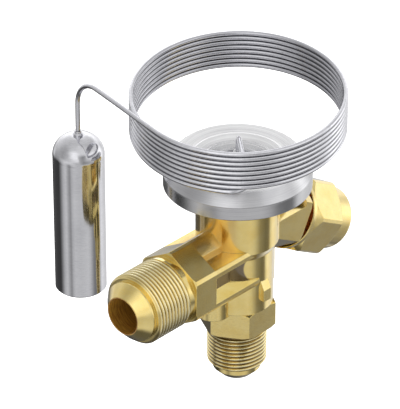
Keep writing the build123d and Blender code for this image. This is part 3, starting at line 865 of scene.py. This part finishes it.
polished_steel, flow, principled = new_finish("polished_steel")
place, (x, y, z) = object_place(flow)
polish = streaks(flow, place, BELT_MARKS, detail=5.0)
haze = noise(flow, place, 0.12)
colour = (polish * 0.5 + haze * 0.5).step(0.3, 0.7).mix(BULB_DARK, BULB_LIGHT)
feed(
    flow, principled, bump=polish, bump_mm=0.003, bump_strength=0.3,
    Base_Color=colour, Roughness=0.06 + haze * 0.06 + polish * 0.03, Metallic=1.0,
)
paint(polished_steel, "sensing_bulb", "bulb_ferrule")

# %% [markdown]
# ## Spring wire
#
# Both springs are wound from hard wire that keeps the grey oxide of its heat treatment. It is a dull metal with
# uneven patches, so one noise drives its colour and its roughness together.

# %% Spring wire
WIRE_DARK = rgb(0.20, 0.20, 0.22)
WIRE_LIGHT = rgb(0.42, 0.42, 0.44)

spring_wire, flow, principled = new_finish("spring_wire")
place, _ = object_place(flow)
oxide = noise(flow, place, 1.1, detail=5.0)
feed(
    flow, principled, bump=oxide, bump_mm=0.01, bump_strength=0.4, Metallic=1.0,
    Base_Color=oxide.step(0.3, 0.7).mix(WIRE_DARK, WIRE_LIGHT), Roughness=0.3 + oxide * 0.2,
)
paint(spring_wire, "main_spring", "needle_spring")

# %% [markdown]
# ## Gauze of the strainer
#
# The strainer is a sleeve of woven wire. Real wires would be thousands of faces that nobody sees, so the weave is
# two sine waves multiplied: one round the sleeve, and one along it.

# %% Woven gauze
GAUZE_DARK = rgb(0.25, 0.25, 0.26)
GAUZE_LIGHT = rgb(0.70, 0.70, 0.72)
WIRES_ROUND = 46.0
WIRES_ALONG = 16.0

woven_gauze, flow, principled = new_finish("woven_gauze")
place, (x, y, z) = object_place(flow)
warp = (y.math("ARCTAN2", x) * WIRES_ROUND).math("SINE")
weft = (z * WIRES_ALONG).math("SINE")
weave = warp * weft * 0.5 + 0.5
feed(
    flow, principled, bump=weave, bump_mm=0.05, bump_strength=0.8, Metallic=1.0,
    Base_Color=weave.mix(GAUZE_DARK, GAUZE_LIGHT), Roughness=0.35 + weave * 0.15,
)
paint(woven_gauze, "strainer_gauze")

# %% [markdown]
# ## Copper of the gasket
#
# The ring between the arm and the cap is soft copper, gone dark red with age. Its tarnish is patchy, and it is
# a little rough where it was squeezed.

# %% Soft copper
COPPER_RED = rgb(0.20, 0.05, 0.02)
COPPER_DARK = rgb(0.10, 0.025, 0.012)

soft_copper, flow, principled = new_finish("soft_copper")
place, _ = object_place(flow)
tarnish = noise(flow, place, 0.6, detail=5.0)
feed(
    flow, principled, bump=tarnish, bump_mm=0.02, bump_strength=0.4, Metallic=1.0,
    Base_Color=tarnish.step(0.3, 0.7).mix(COPPER_RED, COPPER_DARK), Roughness=0.3 + tarnish * 0.2,
)
paint(soft_copper, "cap_gasket")

# %% [markdown]
# ## Rubber of the seals
#
# The two O-rings are black rubber. Rubber isn't metal, so it needs no more than a near black with a greyish
# bloom, and a rough surface.

# %% Seal rubber
RUBBER_BLACK = rgb(0.012, 0.012, 0.013)
RUBBER_BLOOM = rgb(0.045, 0.045, 0.045)

seal_rubber, flow, principled = new_finish("seal_rubber")
place, _ = object_place(flow)
bloom = noise(flow, place, 1.5, detail=5.0)
feed(
    flow, principled, bump=bloom, bump_mm=0.02, bump_strength=0.5,
    Base_Color=bloom.mix(RUBBER_BLACK, RUBBER_BLOOM), Roughness=0.5 + bloom * 0.2,
)
paint(seal_rubber, "orifice_seal", "spindle_seal")

# %% [markdown]
# ## The studio
#
# Bright metal shows the room around it, so the light is a room: pale walls with dark flags between them. Lamps
# alone would leave the metal black between their reflections. The room is painted as seven rings of light at
# rising heights. Each ring is a ramp of greys round the compass, and between two heights the rings melt into
# each other.

# %% Rings of light
NADIR = 0.12
NADIR_HEIGHT = -72


def grey_stops(stops):
    """Ramp stops from (compass angle, brightness) pairs."""
    return [(angle / 360, rgb(value, value, value)) for angle, value in stops]


FLOOR_RING = grey_stops([
    (0, 0.30), (14, 0.75), (24, 0.80), (32, 0.22), (45, 0.07), (190, 0.08), (205, 0.25), (222, 0.72), (240, 0.60),
    (300, 0.25), (335, 0.38), (350, 0.60), (360, 0.30),
])
UPRIGHT_RING = grey_stops([
    (0, 0.82), (15, 0.76), (26, 0.78), (36, 0.95), (41, 0.45), (46, 0.12), (70, 0.10), (100, 0.06), (126, 0.05),
    (135, 0.20), (150, 0.60), (163, 0.75), (174, 0.50), (183, 0.34), (191, 0.60), (202, 0.72), (225, 0.64),
    (245, 0.68), (258, 0.72), (268, 0.64), (276, 0.48), (286, 0.26), (305, 0.15), (317, 0.18), (324, 0.80),
    (334, 1.04), (350, 0.90), (360, 0.82),
])
LOW_RING = grey_stops([
    (0, 0.85), (20, 1.00), (34, 1.05), (41, 0.30), (48, 0.40), (58, 0.75), (72, 0.35), (92, 0.90), (108, 0.40),
    (130, 0.40), (165, 0.85), (192, 0.85), (214, 0.62), (228, 0.60), (245, 0.32), (262, 0.38), (285, 0.60),
    (302, 0.95), (312, 0.60), (320, 0.85), (332, 1.50), (345, 1.20), (360, 0.85),
])
LEVEL_RING = grey_stops([
    (0, 0.80), (12, 1.10), (35, 1.10), (55, 1.50), (72, 1.10), (88, 0.78), (110, 0.55), (150, 0.42), (190, 0.78),
    (206, 0.98), (222, 1.05), (231, 0.45), (244, 0.38), (258, 0.58), (285, 0.95), (300, 1.05), (316, 1.25),
    (330, 1.70), (342, 1.40), (352, 0.95), (360, 0.80),
])
RAISED_RING = grey_stops([
    (0, 1.10), (42, 1.90), (80, 0.95), (108, 0.72), (126, 0.52), (145, 0.43), (174, 0.60), (194, 1.15), (216, 1.20),
    (229, 0.50), (244, 0.30), (256, 0.50), (266, 1.20), (300, 1.10), (313, 0.80), (324, 0.90), (344, 1.20),
    (360, 1.10),
])
HIGH_RING = grey_stops([
    (0, 0.70), (42, 0.95), (100, 0.75), (122, 0.57), (140, 0.47), (158, 0.52), (174, 0.85), (198, 1.25), (216, 1.10),
    (235, 0.82), (262, 0.90), (300, 0.80), (322, 0.85), (345, 0.50), (360, 0.70),
])
ZENITH_RING = grey_stops([(0, 0.74), (120, 0.65), (240, 0.85), (330, 0.62), (360, 0.74)])
RINGS = [
    (-50, FLOOR_RING), (-29, UPRIGHT_RING), (-14, LOW_RING), (2, LEVEL_RING), (20, RAISED_RING), (38, HIGH_RING),
    (64, ZENITH_RING),
]
print(len(RINGS), "rings,", sum(len(stops) for _, stops in RINGS), "stops")

# %% Room
world = bpy.data.worlds.new("studio")
bpy.context.scene.world = world
world.use_nodes = True
world.node_tree.nodes.clear()
flow = Flow(world.node_tree)
direction = flow.node("ShaderNodeTexCoord", output=0)
dx, dy, dz = [flow.node("ShaderNodeSeparateXYZ", inputs={0: direction}, output=k) for k in range(3)]
azimuth = (dy.math("ARCTAN2", dx) / (2 * pi) + 1.0).math("FRACT")
light = rgb(NADIR, NADIR, NADIR)
below = sin(radians(NADIR_HEIGHT))
for height, stops in RINGS:
    ring_height = sin(radians(height))
    ring_light = flow.node("ShaderNodeValToRGB", {"stops": stops}, {0: azimuth})
    light = dz.step(below, ring_height).mix(light, ring_light)
    below = ring_height
background = flow.node("ShaderNodeBackground", {}, {"Color": light, "Strength": 1.0})
output = world.node_tree.nodes.new("ShaderNodeOutputWorld")
world.node_tree.links.new(background.socket, output.inputs["Surface"])
print("room of", len(world.node_tree.nodes), "nodes")

# %% [markdown]
# ## Floor and lamp
#
# The valve hangs over a plain pale floor that glows a little, so that it throws no hard shadow. Metal would
# mirror that glow from below, so reflections don't see the floor. One soft square lamp above the valve adds
# light from the top, and reflections don't see it either.

# %% Floor
FLOOR_Z = -0.12
FLOOR_SIZE = 12.0

nothing_selected()
bpy.ops.mesh.primitive_plane_add(size=FLOOR_SIZE, location=(0, 0, FLOOR_Z))
floor = bpy.context.object
floor.name = "floor"
floor_white, flow, principled = new_finish("floor_white")
feed(
    flow, principled, Base_Color=rgb(0.9, 0.9, 0.9), Roughness=0.9, Emission_Color=rgb(1, 1, 1),
    Emission_Strength=0.75,
)
floor.data.materials.append(floor_white)
floor.visible_glossy = False
print("floor", FLOOR_SIZE, "m wide")

# %% Lamp
LAMP_TOWARD = Vector((0.1, -0.2, 1.0)).normalized()
LAMP_DISTANCE = 0.9
LAMP_SIZE = 0.7
LAMP_WATTS = 4.0

nothing_selected()
lamp_turn = LAMP_TOWARD.to_track_quat("Z", "Y").to_euler()
bpy.ops.object.light_add(type="AREA", location=VIEW_AIM + LAMP_TOWARD * LAMP_DISTANCE, rotation=lamp_turn)
top_lamp = bpy.context.object
top_lamp.name = "top_lamp"
top_lamp.data.size = LAMP_SIZE
top_lamp.data.energy = LAMP_WATTS
top_lamp.visible_glossy = False
bpy.context.scene.view_settings.view_transform = "Standard"
print("lamp of", LAMP_WATTS, "W")
